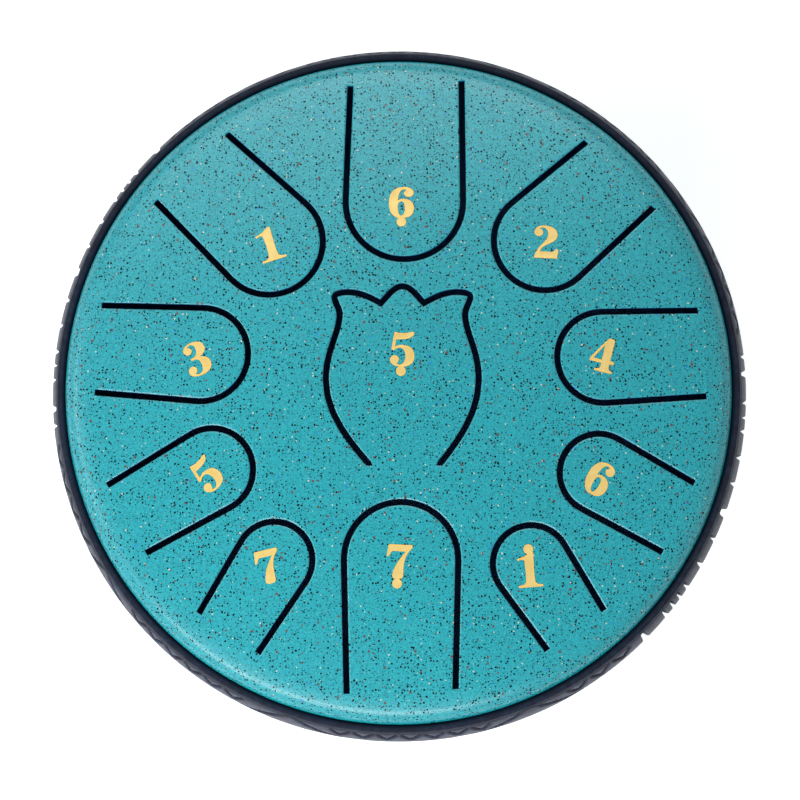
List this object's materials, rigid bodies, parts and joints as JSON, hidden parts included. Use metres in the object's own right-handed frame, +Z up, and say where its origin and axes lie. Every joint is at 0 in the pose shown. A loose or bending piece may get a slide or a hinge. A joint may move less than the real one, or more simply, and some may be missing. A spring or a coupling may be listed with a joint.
{
  "type": "steel tongue drum",
  "caption": "Round steel drum with tuned tongues cut in its domed top, gold numbers, a relief rubber band round the seam, and a bowl below with a sound hole on rubber feet.",
  "frame": {"origin": "on the table, under the middle of the drum, midway between the feet", "axes": "+Z up, +Y away from the player towards the low 6 tongue, +X to the player's right"},
  "size_m": [0.16, 0.16, 0.0751],
  "materials": {
    "lacquer": "semi-gloss teal lacquer with dark, brown and cream specks",
    "lacquer_under": "semi-gloss teal lacquer with dark, brown and cream specks",
    "gold_foil": "thin gold foil sticker with a brighter edge",
    "band_rubber": "smooth dark blue-grey rubber, satin on the raised relief",
    "weld": "bare weld bead",
    "foot_rubber": "matt black rubber",
    "screw_steel": "plain steel",
    "zinc": "zinc plated"
  },
  "bodies": {
    "drum": {"top_shell": "lacquer", "bottom_shell": "lacquer_under", "seam_weld": "weld", "rim_band": "band_rubber", "rubber_foot_1": "foot_rubber", "rubber_foot_2": "foot_rubber", "rubber_foot_3": "foot_rubber", "rubber_foot_4": "foot_rubber", "foot_screws": "screw_steel", "foot_washers": "zinc", "foot_nuts": "zinc"},
    "note_6_low": {"tongue_6_low": "lacquer", "number_6_low": "gold_foil"},
    "note_1": {"tongue_1": "lacquer", "number_1": "gold_foil"},
    "note_2": {"tongue_2": "lacquer", "number_2": "gold_foil"},
    "note_3": {"tongue_3": "lacquer", "number_3": "gold_foil"},
    "note_4": {"tongue_4": "lacquer", "number_4": "gold_foil"},
    "note_5": {"tongue_5": "lacquer", "number_5": "gold_foil"},
    "note_6": {"tongue_6": "lacquer", "number_6": "gold_foil"},
    "note_7": {"tongue_7": "lacquer", "number_7": "gold_foil"},
    "note_7_low": {"tongue_7_low": "lacquer", "number_7_low": "gold_foil"},
    "note_1_high": {"tongue_1_high": "lacquer", "number_1_high": "gold_foil"},
    "note_5_low": {"tongue_5_low": "lacquer", "number_5_low": "gold_foil"}
  },
  "joints": [
    {"name": "bend_6_low", "type": "hinge", "parent": "drum", "child": "note_6_low", "pos_m": [0.00188, 0.06987, 0.06875], "axis": [-0.9989, -0.0461, 0], "range_deg": [-0.5, 0.5], "stiffness_Nm_per_rad": 34.3},
    {"name": "bend_1", "type": "hinge", "parent": "drum", "child": "note_1", "pos_m": [-0.04718, 0.0504, 0.06889], "axis": [-0.7186, -0.6954, 0], "range_deg": [-0.5, 0.5], "stiffness_Nm_per_rad": 32.8},
    {"name": "bend_2", "type": "hinge", "parent": "drum", "child": "note_2", "pos_m": [0.05062, 0.04856, 0.06871], "axis": [-0.7078, 0.7064, 0], "range_deg": [-0.5, 0.5], "stiffness_Nm_per_rad": 30.6},
    {"name": "bend_3", "type": "hinge", "parent": "drum", "child": "note_3", "pos_m": [-0.06794, 0.00869, 0.06897], "axis": [-0.0644, -0.9979, 0], "range_deg": [-0.5, 0.5], "stiffness_Nm_per_rad": 35},
    {"name": "bend_4", "type": "hinge", "parent": "drum", "child": "note_4", "pos_m": [0.06885, 0.00749, 0.06885], "axis": [-0.0866, 0.9962, 0], "range_deg": [-0.5, 0.5], "stiffness_Nm_per_rad": 32.9},
    {"name": "bend_5", "type": "hinge", "parent": "drum", "child": "note_5", "pos_m": [-0.06098, -0.03001, 0.06906], "axis": [0.5066, -0.8622, 0], "range_deg": [-0.5, 0.5], "stiffness_Nm_per_rad": 33.5},
    {"name": "bend_6", "type": "hinge", "parent": "drum", "child": "note_6", "pos_m": [0.06315, -0.02965, 0.06877], "axis": [0.4253, 0.9051, 0], "range_deg": [-0.5, 0.5], "stiffness_Nm_per_rad": 31.1},
    {"name": "bend_7", "type": "hinge", "parent": "drum", "child": "note_7", "pos_m": [-0.03782, -0.05562, 0.06917], "axis": [0.8314, -0.5556, 0], "range_deg": [-0.5, 0.5], "stiffness_Nm_per_rad": 32.6},
    {"name": "bend_7_low", "type": "hinge", "parent": "drum", "child": "note_7_low", "pos_m": [0.00092, -0.06851, 0.06897], "axis": [0.999, 0.0455, 0], "range_deg": [-0.5, 0.5], "stiffness_Nm_per_rad": 43.7},
    {"name": "bend_1_high", "type": "hinge", "parent": "drum", "child": "note_1_high", "pos_m": [0.03996, -0.05491, 0.06907], "axis": [0.8198, 0.5726, 0], "range_deg": [-0.5, 0.5], "stiffness_Nm_per_rad": 30.6},
    {"name": "bend_5_low", "type": "hinge", "parent": "drum", "child": "note_5_low", "pos_m": [0.00171, -0.01832, 0.07401], "axis": [1, 0, 0], "range_deg": [-0.5, 0.5], "stiffness_Nm_per_rad": 30.3}
  ]
}
